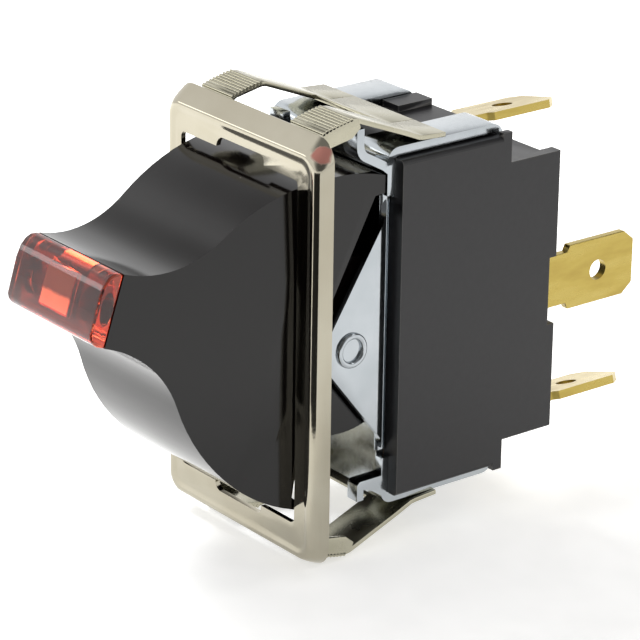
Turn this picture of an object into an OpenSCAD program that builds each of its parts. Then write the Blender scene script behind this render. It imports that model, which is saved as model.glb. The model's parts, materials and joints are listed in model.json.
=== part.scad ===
// Lighted rocker switch that snaps into a rectangular panel cut-out.
// X runs across the short side, Y from front to back, Z up; millimetres.
// The origin is the middle of the bezel rim, where it rests on the panel.
// The switch is drawn with the lit tip up, the on position.

/* [Bezel] */
// Bezel width across the short side
bezel_w = 22.8; // [22.4:0.1:25]
// Bezel height along the long side
bezel_h = 40.7; // [40.2:0.1:43]
// How far the bezel stands out from the panel
bezel_depth = 2.0; // [1.8:0.1:2.6]
// Outer corner radius of the bezel
bezel_corner = 2.2; // [2:0.1:2.8]
// Thickness of the bezel sheet
bezel_sheet = 0.5; // [0.45:0.05:0.6]
// Width of the notch in each short edge of the opening
notch_w = 7.0; // [5:0.5:8]

/* [Rocker] */
// How far the tip points up in the on position, degrees
rest_tilt = 18.5; // [17:0.5:18.5]
// Width of the rocker in the opening
rocker_w = 16.8; // [16.2:0.1:16.9]
// Pivot to the end of the rocker tip
tip_reach = 25.5; // [24:0.1:27]
// Wall of the hollow rocker
rocker_wall = 1.3; // [1.1:0.1:1.5]
// Width of the rocker tip and of the lens
tip_w = 13.0; // [11:0.5:14]
// How far the lens stands out of the tip
lens_reach = 1.9; // [1.5:0.1:3]

/* [Body] */
// Width of the moulded body
body_w = 19.3; // [19:0.1:20.5]
// Depth from the front face of the body to the back of its side walls
body_depth = 18.5; // [18:0.1:20]
// Width of the bracket across its ears
ear_w = 16.9; // [16.7:0.1:17.1]

/* [Clips] */
// Width of each spring clip
clip_w = 17.6; // [17:0.1:18.2]
// How far the clip crest stands above the bracket arms
crest_rise = 3.8; // [3.2:0.1:4.0]
// Width of the window between the two fingers
clip_window = 8.6; // [7:0.2:9.4]

/* [Terminals] */
// Width of the quick-connect blades
blade_w = 6.35; // [4.75, 6.35]
// Length of the blades from shoulder to tip
blade_l = 8.1; // [7:0.1:9]

/* [Hidden] */
$fn = 48;
// bezel opening
open_x = 8.6;
open_z = 16.2;
open_r = 0.5;
rim_r = 1.3;
notch_deep = 0.9;
dish = 0.4;
notch_x = 0.2;
// pivot and rocker
pivot_y = 4.4;
pivot_z = -1.0;
shape_lift = 0.45;
tip_half = 3.3;
hollow_r = 10.2;
flank_a = 1.5;
flank_half = 15.6;
lobe_r = 8.4;
lobe_room = 0.4;
running_fit = 0.05;
seat_gap = 0.02;
// folded steel bracket
steel = 0.8;
plate_y = 8.2;
arm_top = 17.1;
arm_in = 4.2;
arm_end = 21.5;
plate_z = 15.4;
lug_y = 5.5;
lug_w = 1.4;
body_front = plate_y + steel;
ear_x = ear_w / 2;
arm_out = ear_x;
arm_bend = 1.2;
ear_hi = 12.6;
ear_lo = -11.9;
ear_nose = 3.1;
cheek_x = ear_x - steel - 0.35;
cheek_t = 1.1;
// lens and lamp
peg_x = 4.45;
peg_r = 1.5;
peg_l = 2.6;
lamp_r = 1.7;
lamp_room = 2.2;
pocket_half = 1.8;
lamp_z = 0.3;
lead_t = 0.45;
lead_x = [-1.6, -3.6];
// contact gear
pole_x = 4.2;
throw_deg = 25;
arm_swing = 6;
arm_y = 17.25;
arm_t = 0.7;
arm_half = 8.6;
arm_w = 4.0;
plunger_r = 1.6;
tip_r = 1.2;
plunger_end = arm_y - arm_t - pivot_y - 0.1;
tube_r = 2.6;
tube_end = 8.4;
spring_room = 7.5;
contact_s = 7.4;
rivet_r = 1.6;
plunger_l = 8.6;
spring_mean = 1.2;
spring_wire = 0.2;
spring_top = plunger_end - plunger_l - seat_gap;
spring_low = 0.9 - spring_room;
spring_turns = 7;
floor_y = 20.3;
foot_t = 0.8;
// moulded body
block_end = 21.6;
block_z = 16.1;
back_z = 13.6;
back_y = body_front + body_depth;
floor_back = 23.4;
side_wall = 1.2;
cavity_x = 7.6;
cavity_z = 14.0;
card_t = 0.4;
// spring clips
clip_t = 0.45;
ridge_n = 5;
ridge_r = 0.14;
rim_z = bezel_h / 2 - bezel_sheet - ridge_r - 0.03;
clip_grip = 2.05;
crest_y = 4.1;
crest_r = 1.2;
flange_h = 1.6;
window_y = 10.0;
// terminals
neck_w = 5.1;
hole_to_tip = 4.45;
hole_y = 34.3;
blade_t = 0.8;
upper_at = [-6.3, 12.15];
upper_tilt = 12.8;
lower_at = [4.4, -13.05];
lower_tilt = 17.8;
middle_x = 7.6;

// ---- shared helpers ----

// profile drawn as (Y, Z), pushed along X
module along_x(x0, x1) {
  translate([x0, 0, 0]) rotate([90, 0, 90]) linear_extrude(x1 - x0) children();
}

// profile drawn as (X, Z), pushed along Y
module along_y(y0, y1) {
  translate([0, y1, 0]) rotate([90, 0, 0]) linear_extrude(y1 - y0) children();
}

module box(lo, hi) {
  translate(lo) cube(hi - lo);
}

module both_sides() {
  children();
  mirror([1, 0, 0]) children();
}

module both_ends() {
  children();
  mirror([0, 0, 1]) children();
}

module round_rect(hx, hz, r) {
  square([2 * hx - 2 * r, 2 * hz], center = true);
  square([2 * hx, 2 * hz - 2 * r], center = true);
  for (sx = [-1, 1], sz = [-1, 1])
    translate([sx * (hx - r), sz * (hz - r)]) circle(r);
}

function unit(v) = v / norm(v);
function side_of(a, b) = let(u = unit(b - a)) [u[1], -u[0]];
function mitre(a, b) = (a + b) / (1 + a * b);
function lean(p, i) =
  i == 0 ? side_of(p[0], p[1]) :
  i == len(p) - 1 ? side_of(p[i - 1], p[i]) :
  mitre(side_of(p[i - 1], p[i]), side_of(p[i], p[i + 1]));
// closed outline of a bent strip: a line and its copy one thickness away
function strip(p, t) =
  concat(p, [for (i = [len(p) - 1:-1:0]) p[i] + t * lean(p, i)]);
function arc(c, r, from, to, n) =
  [for (i = [0:n]) let(a = from + (to - from) * i / n) c + r * [cos(a), sin(a)]];

// flat tinned lead along a path in its own plane
module lead(p) {
  linear_extrude(lead_t, center = true) polygon(strip(p, lead_t));
}

// moves a piece drawn about the pivot, tip towards -Y, to the on position
module on_rocker() {
  translate([0, pivot_y, pivot_z]) rotate([-rest_tilt, 0, 0]) children();
}

// plunger axis: straight back in the middle of the throw
module on_plunger() {
  translate([pole_x, pivot_y, pivot_z]) rotate([-throw_deg / 2 - 90, 0, 0])
    children();
}

module on_arm() {
  translate([pole_x, arm_y, pivot_z]) rotate([arm_swing, 0, 0]) children();
}

// ---- bezel ----

// cross-section from the outer edge (first axis) inwards; w is the rim width
module rim_outer(w) {
  r = rim_r;
  d = bezel_depth;
  run = (w - bezel_corner) * 1.6;
  intersection() {
    translate([r, r - d]) circle(r);
    translate([0, -d]) square([r, r]);
  }
  translate([0, r - d]) square([r, d - r]);
  polygon([[r - 0.01, 0], [r - 0.01, -d], [bezel_corner, 0.08 - d],
    [bezel_corner + run, dish - d], [bezel_corner + run, 0]]);
}

module rim_inner(w) {
  r = rim_r;
  t = bezel_sheet;
  d = bezel_depth;
  run = (w - bezel_corner) * 1.6;
  intersection() {
    translate([r, r - d]) circle(r - t);
    translate([t, t - d]) square([r - t, r - t]);
  }
  translate([t, r - d]) square([r - t, d]);
  polygon([[r - 0.02, 1], [r - 0.02, t - d], [bezel_corner, 0.08 + t - d],
    [bezel_corner + run, dish + t - d], [bezel_corner + run + 1, dish + t - d],
    [bezel_corner + run + 1, 1]]);
}

module rim_section(w) {
  difference() {
    rim_outer(w);
    rim_inner(w);
  }
}

// corner centres and the inner ends of the mitre lines
cx = bezel_w / 2 - bezel_corner;
cz = bezel_h / 2 - bezel_corner;
mx = open_x - (cx - open_x) * 0.6;
mz = open_z - (cz - open_z) * 0.6;

module rim_side() {
  intersection() {
    translate([bezel_w / 2, 0, -cz]) mirror([1, 0, 0])
      linear_extrude(2 * cz) rim_section(bezel_w / 2 - open_x);
    along_y(-5, 5)
      polygon([[cx, cz], [cx + 9, cz], [cx + 9, -cz], [cx, -cz], [mx, -mz], [mx, mz]]);
  }
}

module rim_end() {
  intersection() {
    translate([-cx, 0, bezel_h / 2]) rotate([0, 90, 0])
      linear_extrude(2 * cx) rim_section(bezel_h / 2 - open_z);
    along_y(-5, 5)
      polygon([[-cx, cz], [-cx, cz + 9], [cx, cz + 9], [cx, cz], [mx, mz], [-mx, mz]]);
  }
}

module rim_corner() {
  translate([cx, 0, cz]) rotate([-90, 0, 0]) rotate([0, 0, -90])
    rotate_extrude(angle = 90) intersection() {
      translate([bezel_corner, 0]) mirror([1, 0]) rim_section(bezel_corner + 1);
      translate([0, -5]) square([bezel_corner, 10]);
    }
}

module bezel() {
  color("#c9c6b6") difference() {
    union() {
      both_sides() rim_side();
      both_ends() rim_end();
      both_sides() both_ends() rim_corner();
    }
    along_y(-5, 5) round_rect(open_x, open_z, open_r);
    along_y(-5, 5) translate([notch_x, 0])
      round_rect(notch_w / 2, open_z + notch_deep, 0.8);
  }
}

// ---- spring clips ----

// upper surface of a clip from the bezel to its rear end, (Y, Z)
crest_z = arm_top + crest_rise;
clip_rest = arm_top + clip_t + seat_gap;
clip_line = concat(
  [[0.3, rim_z - 0.8], [clip_grip, rim_z]],
  arc([crest_y, crest_z - crest_r], crest_r, 118, 65, 5),
  [[11.6, clip_rest + 0.27], [14.5, clip_rest]]);

module clip_ridges(from, to) {
  d = to - from;
  for (i = [0:ridge_n - 1]) {
    p = from + d * (i + 0.5) / ridge_n;
    translate([0, p[0], p[1]]) rotate([0, 90, 0])
      cylinder(r = ridge_r, h = clip_w, center = true, $fn = 16);
  }
}

module upper_clip_shape() {
  difference() {
    union() {
      along_x(-clip_w / 2, clip_w / 2) polygon(strip(clip_line, clip_t));
      clip_ridges(clip_line[0] + [0.9, 0.41], clip_line[1]);
      clip_ridges(clip_line[1], clip_line[2]);
      // side flanges under the toothed slopes
      both_sides()
        along_x(clip_w / 2 - clip_t, clip_w / 2)
          polygon([clip_line[0] + [0.1, -0.2], clip_line[1] - [0, 0.2],
            [crest_y - 0.15, crest_z - 0.3], [crest_y - 0.15, crest_z - flange_h],
            clip_line[0] + [0.9, -0.5], clip_line[0] + [0.2, -0.5]]);
    }
    box([-clip_window / 2, -1, rim_z / 2], [clip_window / 2, window_y, 2 * rim_z]);
  }
}

module upper_clip() {
  color("#b8b5a2") upper_clip_shape();
}

module lower_clip() {
  color("#b8b5a2") mirror([0, 0, 1]) upper_clip_shape();
}

// ---- bracket ----

module ear_outline() {
  hi = [plate_y + 0.1, ear_hi];
  lo = [plate_y + 0.1, ear_lo];
  c = [pivot_y, pivot_z];
  translate(c) circle(ear_nose);
  polygon([
    hi, hi - [0.6, 0],
    touch(c, hi - [0.6, 0], ear_nose, 1), c, touch(c, lo - [0.6, 0], ear_nose, -1),
    lo - [0.6, 0], lo]);
}

// point where the line from p runs on to the circle about c
function touch(c, p, r, s) =
  let(d = p - c, a = atan2(d[1], d[0]), b = acos(r / norm(d)))
  c + r * [cos(a + s * b), sin(a + s * b)];

module ear() {
  difference() {
    union() {
      along_x(ear_x - steel, ear_x) ear_outline();
      // fold into the front plate
      intersection() {
        translate([ear_x - 1.0, plate_y - 0.2, ear_lo])
          cylinder(r = 1.0, h = ear_hi - ear_lo);
        box([ear_x - 1.0, plate_y - 0.2, ear_lo], [ear_x, plate_y + steel, ear_hi]);
      }
    }
    translate([0, pivot_y, pivot_z]) rotate([0, 90, 0])
      cylinder(r = rivet_r + seat_gap, h = 20);
  }
}

arm_line = concat(
  [[plate_y, plate_z]],
  arc([plate_y + arm_bend, arm_top - arm_bend], arm_bend, 180, 90, 6),
  arc([arm_end - arm_bend, arm_top - arm_bend], arm_bend, 90, 0, 6),
  [[arm_end, block_z - 0.9]]);

// outer side of a lug that curls up to z under the clip
function lug_line(z) = concat(
  [[plate_y + 0.5, arm_top - 1.7], [plate_y - 0.1, arm_top - 1.2]],
  arc([lug_y + 0.9, arm_top + 0.8], 0.9, 235, 180, 4),
  [[lug_y, z]]);

module arms() {
  both_sides()
    along_x(arm_in, arm_out) polygon(strip(arm_line, steel));
}

module lug(x0, x1, z) {
  along_x(x0, x1) polygon(strip(lug_line(z), -steel));
}

// short lug at the lower edge, its end turned down
module lower_lug() {
  top = plate_z - 1.2;
  along_x(arm_out - lug_w, arm_out) polygon([
    [plate_y + 0.4, -top], [lug_y + 0.2, -top], [lug_y - 0.1, -top - 0.3],
    [lug_y - 0.1, -top - 1.9], [lug_y + 0.65, -top - 1.9], [lug_y + 0.65, -top - 0.9],
    [plate_y - 1.0, -top - 1.1], [plate_y + 0.4, -top - 2.0]]);
}

module bracket() {
  color("#b9bfc0") {
    along_y(plate_y, plate_y + steel) difference() {
      union() {
        square([2 * ear_x - 1.6, 2 * plate_z], center = true);
        for (s = [-1, 1]) translate([0, s * (arm_top - 2.8)])
          square([2 * arm_out, 3.6], center = true);
      }
      translate([0, pivot_z]) round_rect(cheek_x + 0.25, lobe_r + lobe_room, 1);
    }
    both_sides() ear();
    both_ends() arms();
    lug(arm_out - 2.0, arm_out, crest_z - 1.4);
    lug(-arm_in, 2.0 - arm_in, arm_top + 1.2);
    both_sides() lower_lug();
  }
}

module pivot_rivets() {
  color("#b9bfc0")
    both_sides() translate([0, pivot_y, pivot_z])
      rotate([0, 90, 0]) difference() {
        union() {
          translate([0, 0, cheek_x - cheek_t + 0.05])
            cylinder(r = rivet_r, h = ear_x - cheek_x + cheek_t + 0.05);
          translate([0, 0, ear_x + seat_gap]) cylinder(r = rivet_r + 0.2, h = 0.4);
        }
        translate([0, 0, ear_x - 1.6]) cylinder(r = rivet_r - 0.5, h = 5);
      }
}

// ---- rocker ----

function flank_r(half) =
  let(dx = tip_reach - 0.3 - flank_a, e = tip_half + hollow_r - half)
  (dx * dx + e * e - hollow_r * hollow_r) / (2 * (hollow_r - e));
function meet_deg(half) =
  let(dx = tip_reach - 0.3 - flank_a, r = flank_r(half))
  atan2(dx, tip_half + hollow_r - half + r);
// upper edge from the rear towards the tip, (Y, Z) about the pivot
function flank(half, thin) =
  let(r = flank_r(half), m = meet_deg(half))
  concat(
    [for (i = [0:14]) let(a = m * i / 14)
      [-flank_a - (r - thin) * sin(a), half - r + (r - thin) * cos(a)]],
    [for (i = [1:12]) let(a = m * (1 - i / 12), q = hollow_r + thin)
      [-(tip_reach - 0.3) + q * sin(a), tip_half + hollow_r - q * cos(a)]]);
function flip(p) = [for (i = [len(p) - 1:-1:0]) [p[i][0], -p[i][1]]];

module flank_shape(rear, front, thin) {
  up = flank(flank_half, thin);
  half = up[0][1];
  intersection() {
    translate([0, shape_lift]) polygon(concat(
      [[4, half]], up, [[-tip_reach - 9, tip_half - thin]],
      [[-tip_reach - 9, thin - tip_half]], flip(up), [[4, -half]]));
    translate([-front, -30]) square([front - rear, 60]);
  }
}

// rear edge of the side walls: clear of the ears, then out to the plate stop
rear_edge = [[-4.0, 2.2], [-2.07, 14.07], [-1.04, 14.47], [-2.9, 20]];

module rocker_plan(half_w, tip_half_w) {
  polygon([[-half_w, 30], [half_w, 30], [half_w, -8.4], [half_w - 0.15, -9.6],
    [tip_half_w, -tip_reach], [tip_half_w, -60], [-tip_half_w, -60],
    [-tip_half_w, -tip_reach], [-half_w + 0.15, -9.6], [-half_w, -8.4]]);
}

module rocker_shell() {
  hw = rocker_w / 2;
  w = rocker_wall;
  difference() {
    intersection() {
      along_x(-hw, hw) difference() {
        flank_shape(0, tip_reach, 0);
        polygon(concat(rear_edge, [[30, 20], [30, -20]], flip(rear_edge)));
      }
      translate([0, 0, -30]) linear_extrude(60) rocker_plan(hw, tip_w / 2);
    }
    intersection() {
      along_x(-hw, hw) flank_shape(-5, tip_reach - 3.4, w);
      translate([0, 0, -30]) linear_extrude(60)
        rocker_plan(hw - w, tip_w / 2 - w + 0.4);
    }
  }
}

// inner walls that hang between the bracket ears
module cheek_outline() {
  circle(lobe_r);
  intersection() {
    translate([-9, -30]) square([6.8, 60]);
    flank_shape(0, tip_reach - 4, 0.4);
  }
}

module rocker_cheeks() {
  both_sides() along_x(cheek_x - cheek_t, cheek_x) cheek_outline();
}

// square tube that carries the plunger, moulded against the near inner wall
module plunger_tube() {
  on_plunger() box([-tube_r, -tube_r, -9], [tube_r, tube_r, tube_end]);
}

module rocker() {
  color("#231f1e") difference() {
    union() {
      on_rocker() {
        rocker_shell();
        rocker_cheeks();
      }
      plunger_tube();
    }
    on_plunger() translate([0, 0, -spring_room]) cylinder(r = plunger_r + 0.05, h = 40);
    on_rocker() {
      translate([0, -20, lamp_z]) rotate([90, 0, 0]) cylinder(r = lamp_room, h = 20);
      for (x = [-peg_x, peg_x]) translate([x, -tip_reach - 1, lamp_z]) rotate([-90, 0, 0])
        cylinder(r = peg_r + seat_gap, h = peg_l + 1.1);
      both_sides() rotate([0, 90, 0]) translate([0, 0, cheek_x - cheek_t - 0.1])
        cylinder(r = rivet_r + running_fit, h = 9);
    }
  }
}

// ---- lens and lamp ----

lens_face = [
  [0.02, 3.72], [0.45, 3.74], [0.95, 3.6], [1.4, 3.2], [1.75, 2.5], [1.9, 1.4],
  [1.85, -0.2], [1.8, -1.9], [1.6, -2.35], [1.25, -2.65], [0.8, -2.85], [0.02, -2.9]];

module lens() {
  k = lens_reach / 1.9;
  color("#b5402f") on_rocker() difference() {
    union() {
      along_x(-tip_w / 2, tip_w / 2)
        polygon([for (p = lens_face) [-tip_reach - k * p[0], p[1]]]);
      // pegs that hold it in the rocker tip
      for (x = [-peg_x, peg_x]) translate([x, -tip_reach - 0.2, lamp_z]) rotate([-90, 0, 0])
        cylinder(r = peg_r, h = peg_l + 0.2);
    }
    // room for the top of the lamp
    box([-lamp_room, -tip_reach - 1.1, lamp_z - pocket_half],
      [lamp_room, 1 - tip_reach, lamp_z + pocket_half]);
  }
}

module lamp_bulb() {
  color("#f0d9b0") on_rocker() rotate([90, 0, 0]) {
    translate([0, lamp_z, tip_reach - 8]) cylinder(r = lamp_r, h = 7);
    translate([0, lamp_z, tip_reach - 1]) sphere(lamp_r);
    translate([0, lamp_z, tip_reach - 10]) cylinder(r = lamp_r - 0.5, h = 2.2);
  }
}

module lamp_leads() {
  base = tip_reach - 10.05;
  color("#c8c4bc") on_rocker()
    for (i = [0, 1]) lead([[i == 0 ? 0.6 : -0.6, -base], [lead_x[i], -10],
      [lead_x[i], -0.4]]);
}

// a tail runs straight back from the pivot, then slopes to its terminal's foot
module tail(x, to) {
  top = floor_y - foot_t - seat_gap - pivot_y;
  across = to - [x, pivot_z];
  translate([x, pivot_y, pivot_z])
    rotate([0, -atan2(across[1], across[0]), 0])
      lead([[0, 0.4], [0, top - 3.2], [norm(across) - 2.6, top],
        [norm(across), top]]);
}
module lamp_tails() {
  color("#c8c4bc") {
    tail(lead_x[0], [1.5, -11.4]);
    tail(lead_x[1], [-6.3, 10.4]);
  }
}

// ---- plunger and contacts ----

module plunger() {
  color("#d8d2c2") on_plunger() {
    translate([0, 0, plunger_end - plunger_l])
      cylinder(r = plunger_r, h = plunger_l - tip_r - 0.6);
    translate([0, 0, plunger_end - 2]) cylinder(r = tip_r, h = 2 - tip_r);
    translate([0, 0, plunger_end - tip_r]) sphere(tip_r);
  }
}

// coil as one closed skin, ring by ring along the helix
module coil(mean, wire_r, z0, z1, turns) {
  n = turns * 18;
  m = 8;
  climb = atan2((z1 - z0) / turns, 360 * mean * 3.14159 / 180);
  ring = [for (i = [0:n], j = [0:m - 1])
    let(a = 360 * turns * i / n, b = 360 * j / m,
      out = wire_r * cos(b), up = wire_r * sin(b))
    [(mean + out) * cos(a) + up * sin(climb) * sin(a),
     (mean + out) * sin(a) - up * sin(climb) * cos(a),
     z0 + (z1 - z0) * i / n + up * cos(climb)]];
  sides = [for (i = [0:n - 1], j = [0:m - 1])
    let(k = (j + 1) % m)
    [i * m + j, (i + 1) * m + j, (i + 1) * m + k, i * m + k]];
  ends = [[for (j = [0:m - 1]) j], [for (j = [m - 1:-1:0]) n * m + j]];
  polyhedron(points = ring, faces = concat(sides, ends), convexity = 8);
}

module plunger_spring() {
  color("#aeb2b3") on_plunger()
    coil(spring_mean, spring_wire, spring_low + spring_wire, spring_top - spring_wire,
      spring_turns);
}

module contact_arm() {
  color("#c08a4a") on_arm() difference() {
    union() {
      box([-arm_w / 2, -arm_t, -arm_half], [arm_w / 2, 0, arm_half]);
      // lips either side keep the arm on its fulcrum
      for (s = [-1, 1]) translate([s * (arm_w / 2 + 0.2), 0, 0]) rotate([0, 90, 0])
        cylinder(r = 1.1, h = 0.4, center = true);
    }
    translate([0, 0, -contact_s]) rotate([90, 0, 0])
      cylinder(r = 0.6 + seat_gap, h = 4, center = true);
  }
}

module moving_contact() {
  color("#d9d9d4") on_arm() translate([0, 0, -contact_s]) rotate([-90, 0, 0]) {
    translate([0, 0, seat_gap]) cylinder(r = 1.5, h = 0.8 - seat_gap);
    translate([0, 0, -arm_t]) cylinder(r = 0.6, h = arm_t + 0.1);
  }
}

module fixed_contact() {
  c = [pole_x, arm_y + contact_s * sin(arm_swing), pivot_z - contact_s * cos(arm_swing)];
  color("#d9d9d4") difference() {
    translate([c[0], floor_y - foot_t - seat_gap, c[2] - 0.1]) rotate([90, 0, 0])
      cylinder(r = 1.7, h = 3);
    on_arm() box([-9, -9, -20], [9, 0.8 + 0.05, 20]);
  }
}

// ---- body ----

module insulator() {
  color("#6b5138") along_y(body_front + seat_gap, body_front + card_t) difference() {
    round_rect(cavity_x + 0.1, cavity_z, 0.6);
    translate([0, pivot_z]) round_rect(cheek_x + 0.2, lobe_r + lobe_room, 1);
  }
}

module neck_slot(p, tilt) {
  translate([p[0], 0, p[1]]) rotate([0, -tilt, 0])
    box([-neck_w / 2 - 0.1, floor_y - 1, -blade_t / 2 - 0.1],
      [neck_w / 2 + 0.1, floor_back + 9, blade_t / 2 + 0.1]);
}

module body_blank() {
  hx = body_w / 2;
  // block behind the bracket
  along_y(body_front, block_end) round_rect(hx, block_z, 0.4);
  // rear section with its side walls
  along_x(-hx, hx) polygon([
    [block_end - 1, -back_z], [back_y, -back_z], [back_y, back_z], [block_end - 1, back_z]]);
  // raised corners beside the folded arm ends
  both_sides() both_ends()
    box([hx - 0.7, block_end - 1.0, block_z - 1], [hx, block_end, block_z + 0.4]);
  // rib on the top rear edge
  box([-4.0, block_end - 4, 12], [-1.7, block_end, block_z + 0.6]);
}

module body() {
  hx = body_w / 2;
  color("#3c3b3d") difference() {
    body_blank();
    // contact cavity, open to the front, with a seat for the insulator
    along_y(body_front - 1, floor_y) round_rect(cavity_x, cavity_z - seat_gap, 0.6);
    along_y(body_front - 1, body_front + card_t + seat_gap)
      round_rect(cavity_x + 0.1 + seat_gap, cavity_z + seat_gap, 0.6);
    // recess between the rear side walls
    box([-hx + side_wall, floor_back, -back_z + side_wall],
      [hx - side_wall, back_y + 1, back_z - side_wall]);
    // top and bottom walls end short of the side walls
    both_ends()
      box([-hx + side_wall, back_y - 1.5, 5], [hx - side_wall, back_y + 1, 20]);
    // open seats over the outer terminals
    box([-9.2, block_end + 0.6, 9], [-3.4, back_y + 1, 20]);
    box([1.5, block_end + 0.6, -20], [7.3, back_y + 1, -9]);
    // relief under the front folds of the arms
    both_sides() both_ends()
      box([arm_in - 0.1, body_front - 1, block_z - 0.25], [arm_out + 0.1, body_front + 0.45, 20]);
    // pockets for the folded arm ends
    both_sides() both_ends()
      box([arm_in - 0.2, arm_end - steel - 0.2, block_z - 1.1], [arm_out + 0.2, 30, 20]);
    // shallow step beside the middle terminal
    box([hx - 3, back_y - 0.8, -3.3], [hx + 1, back_y + 1, 3.3]);
    // terminal slots
    neck_slot(upper_at, upper_tilt);
    neck_slot(lower_at, lower_tilt);
    neck_slot([middle_x, 0], 90);
  }
}

// ---- terminals ----

// blade in the X-Y plane with its hole at the origin and its tip to +Y
module blade(inner) {
  tip = hole_to_tip;
  root = tip - blade_l;
  hw = blade_w / 2;
  nw = neck_w / 2;
  linear_extrude(blade_t, center = true) difference() {
    polygon([[-nw, inner], [nw, inner], [nw, root - 0.3], [hw, root],
      [hw, tip - 1.2], [hw - 1, tip], [1 - hw, tip], [-hw, tip - 1.2],
      [-hw, root], [-nw, root - 0.3]]);
    circle(1.0);
  }
}

module upper_terminal() {
  color("#b9a35c") {
    translate([upper_at[0], hole_y, upper_at[1]]) rotate([0, -upper_tilt, 0])
      blade(floor_y - foot_t - hole_y);
    box([-7.4, floor_y - foot_t, 9], [-5.2, floor_y, upper_at[1]]);
  }
}

module middle_terminal() {
  color("#b9a35c") {
    translate([middle_x, hole_y, 0]) rotate([0, 90, 0])
      blade(floor_y - foot_t - hole_y);
    // foot under the contact arm with the fulcrum it rocks on
    box([pole_x - 2, floor_y - foot_t, -neck_w / 2],
      [middle_x + blade_t / 2, floor_y, neck_w / 2]);
    along_x(pole_x - 1.8, pole_x + 1.8) polygon([
      [floor_y - 0.1, pivot_z - 1.2], [arm_y + 0.3, pivot_z - 0.35],
      [arm_y + 0.06, pivot_z - 0.1], [arm_y + 0.06, pivot_z + 0.1],
      [arm_y + 0.3, pivot_z + 0.35], [floor_y - 0.1, pivot_z + 1.2]]);
  }
}

module lower_terminal() {
  color("#b9a35c") {
    translate([lower_at[0], hole_y, lower_at[1]]) rotate([0, -lower_tilt, 0])
      blade(floor_y - foot_t - hole_y);
    box([-0.2, floor_y - foot_t, lower_at[1] + 0.6], [6.3, floor_y, -6.8]);
  }
}

bezel();
upper_clip();
lower_clip();
bracket();
pivot_rivets();
rocker();
lens();
lamp_bulb();
lamp_leads();
lamp_tails();
plunger();
plunger_spring();
contact_arm();
moving_contact();
fixed_contact();
insulator();
body();
upper_terminal();
middle_terminal();
lower_terminal();
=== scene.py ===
import bpy, bmesh, json, math
from mathutils import Matrix, Vector


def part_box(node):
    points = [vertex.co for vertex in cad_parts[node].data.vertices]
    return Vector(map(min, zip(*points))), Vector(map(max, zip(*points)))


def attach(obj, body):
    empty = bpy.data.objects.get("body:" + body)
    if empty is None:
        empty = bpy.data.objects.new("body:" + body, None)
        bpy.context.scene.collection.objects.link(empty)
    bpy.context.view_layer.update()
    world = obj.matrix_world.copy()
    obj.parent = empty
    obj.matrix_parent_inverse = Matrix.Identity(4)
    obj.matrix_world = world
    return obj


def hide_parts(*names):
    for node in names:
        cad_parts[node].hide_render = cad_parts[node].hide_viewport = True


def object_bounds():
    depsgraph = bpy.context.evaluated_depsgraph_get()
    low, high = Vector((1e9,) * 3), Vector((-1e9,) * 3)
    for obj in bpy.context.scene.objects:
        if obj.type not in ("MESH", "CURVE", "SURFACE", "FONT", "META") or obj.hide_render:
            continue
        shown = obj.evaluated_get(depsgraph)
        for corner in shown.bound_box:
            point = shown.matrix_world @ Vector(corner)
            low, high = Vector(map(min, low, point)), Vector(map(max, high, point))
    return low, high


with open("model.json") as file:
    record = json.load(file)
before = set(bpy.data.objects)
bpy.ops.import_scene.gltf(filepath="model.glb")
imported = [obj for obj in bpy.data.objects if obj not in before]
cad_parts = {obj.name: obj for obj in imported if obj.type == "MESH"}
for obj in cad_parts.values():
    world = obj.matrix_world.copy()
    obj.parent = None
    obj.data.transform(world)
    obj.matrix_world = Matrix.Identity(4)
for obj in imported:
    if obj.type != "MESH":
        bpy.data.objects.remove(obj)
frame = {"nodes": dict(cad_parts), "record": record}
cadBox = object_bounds()
mm = 0.001
weldGap = 0.002 * mm
scene = bpy.context.scene
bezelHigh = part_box("bezel")[1]
print("frame loaded:", len(frame["nodes"]), "nodes")


def hexColour(text):
    # sRGB hex to the linear numbers that the shader wants
    out = []
    for i in (1, 3, 5):
        c = int(text[i:i + 2], 16) / 255
        out.append(c / 12.92 if c <= 0.04045 else ((c + 0.055) / 1.055) ** 2.4)
    return (*out, 1.0)


def feed(tree, node, **links):
    # what feeds or fills a node's sockets, by name or as i0, i1 and so on
    for key, value in links.items():
        name = key.replace("_", " ")
        socket = node.inputs[int(key[1:])] if key[0] == "i" and key[1:].isdigit() else node.inputs[name]
        if isinstance(value, bpy.types.NodeSocket):
            tree.links.new(value, socket)
        else:
            socket.default_value = value


def fillRamp(ramp, stops):
    while len(ramp.elements) < len(stops):
        ramp.elements.new(0.5)
    for element, (position, colour) in zip(ramp.elements, stops):
        element.position = position
        element.color = hexColour(colour)


def addNode(tree, kind, settings=None, **links):
    # one node, its plain settings, and its sockets
    node = tree.nodes.new(kind)
    for key, value in (settings or {}).items():
        if key == "stops":
            fillRamp(node.color_ramp, value)
        else:
            setattr(node, key, value)
    feed(tree, node, **links)
    return node


def newMaterial(name):
    material = bpy.data.materials.new(name)
    material.use_nodes = True
    tree = material.node_tree
    tree.nodes.clear()
    out = tree.nodes.new("ShaderNodeOutputMaterial")
    shader = tree.nodes.new("ShaderNodeBsdfPrincipled")
    tree.links.new(shader.outputs["BSDF"], out.inputs["Surface"])
    where = tree.nodes.new("ShaderNodeTexCoord").outputs["Object"]
    return material, tree, shader, where


# Finishes. Each pattern is given as repeats in a metre, so 140 is one in about 7 mm.
nickelFinish = {"tone": "#a7a190", "paleTone": "#b0ab9b", "copperTone": "#b8766a", "rough": (0.07, 0.12),
                "haze": 140.0, "marks": 2600.0, "ripple": 330.0, "ragged": 1500.0,
                "rubbedSpot": (bezelHigh.x - 0.75 * mm, -0.9 * mm, bezelHigh.z - 1.45 * mm),
                "rubbedHalf": (0.8 * mm, 0.9 * mm, 0.8 * mm), "rubbedMost": 0.92}


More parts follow.
